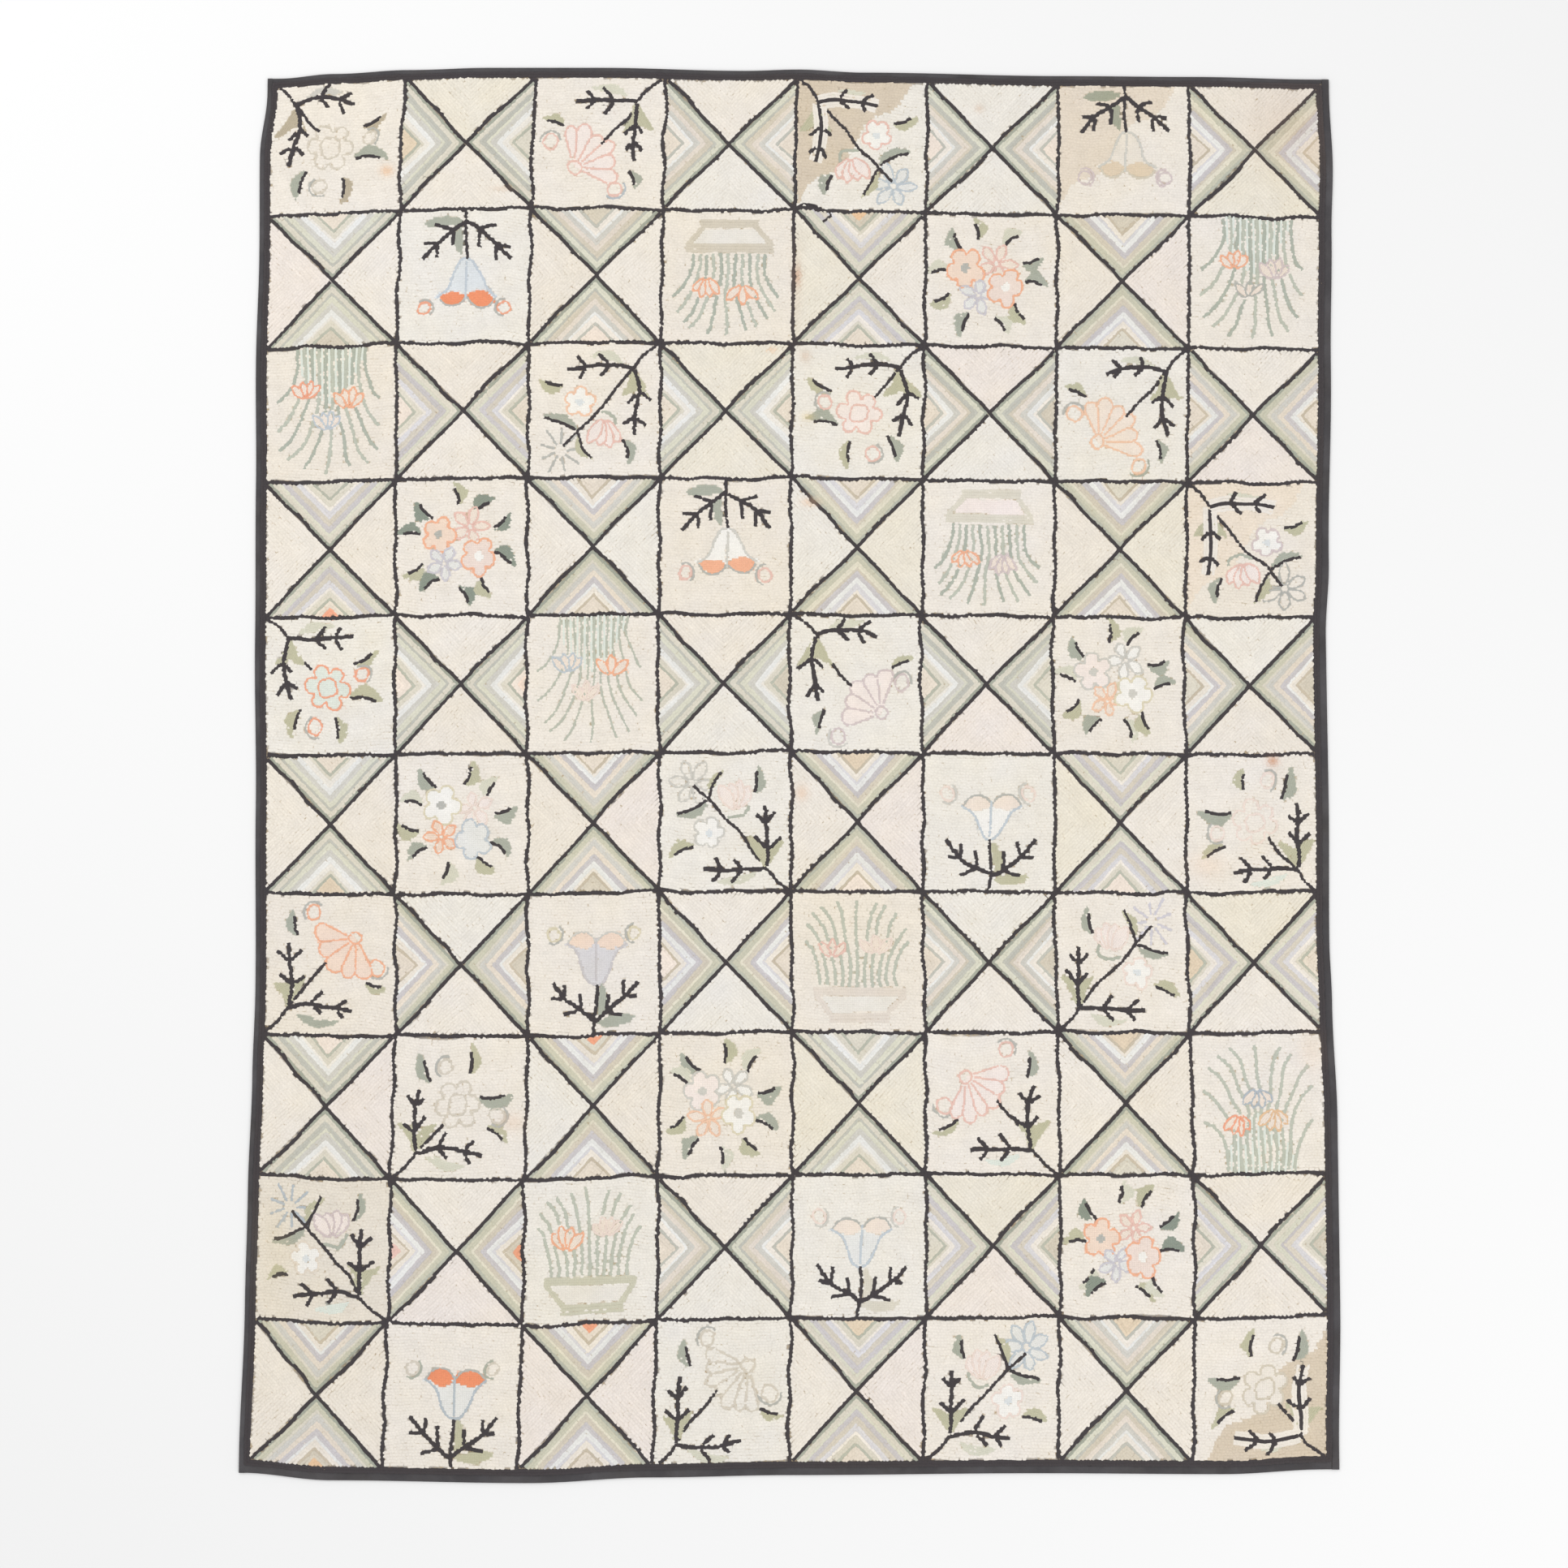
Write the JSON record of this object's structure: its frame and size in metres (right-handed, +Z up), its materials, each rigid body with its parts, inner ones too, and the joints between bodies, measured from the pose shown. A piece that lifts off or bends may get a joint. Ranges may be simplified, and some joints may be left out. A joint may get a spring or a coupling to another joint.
{
  "type": "hooked rug",
  "caption": "Flat oblong hooked rug of square tiles, flower sprays alternating with striped crosses, edges bound in dark cotton tape.",
  "frame": {"origin": "on the floor, under the middle of the rug", "axes": "+Z up out of the pile, +Y along the rug towards the edge at the top of the design, +X to its right"},
  "size_m": [2.406, 3.1229, 0.0085],
  "materials": {
    "pile": "matt",
    "tape": "matt"
  },
  "bodies": {
    "root": {"rug_field": "pile", "binding_left": "tape", "binding_right": "tape", "binding_bottom": "tape", "binding_top": "tape"}
  },
  "joints": []
}
